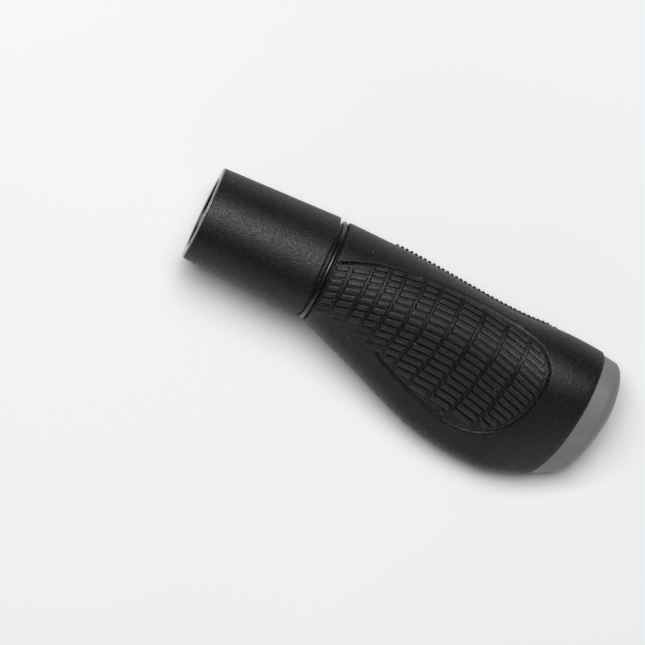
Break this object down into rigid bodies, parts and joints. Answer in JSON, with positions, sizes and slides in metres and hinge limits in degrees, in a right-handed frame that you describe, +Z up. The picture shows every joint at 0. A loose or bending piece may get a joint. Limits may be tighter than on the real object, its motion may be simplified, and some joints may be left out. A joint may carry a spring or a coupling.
{
  "type": "bicycle handlebar grip",
  "caption": "Right-hand winged bicycle grip: black rubber overmould with a barred palm pad and finger pad on a grey liner tube with an end cap.",
  "frame": {"origin": "on the surface the grip lies on, below the middle of its length and of its width", "axes": "+X along the bore from the open mouth to the end cap, -Y towards the palm wing, +Z up out of the palm pad"},
  "size_m": [0.141, 0.052, 0.0347],
  "materials": {
    "core": "satin mid grey",
    "rubber": "matt black, fine grained"
  },
  "bodies": {
    "root": {"core": "core", "rubber_grip": "rubber"}
  },
  "joints": []
}
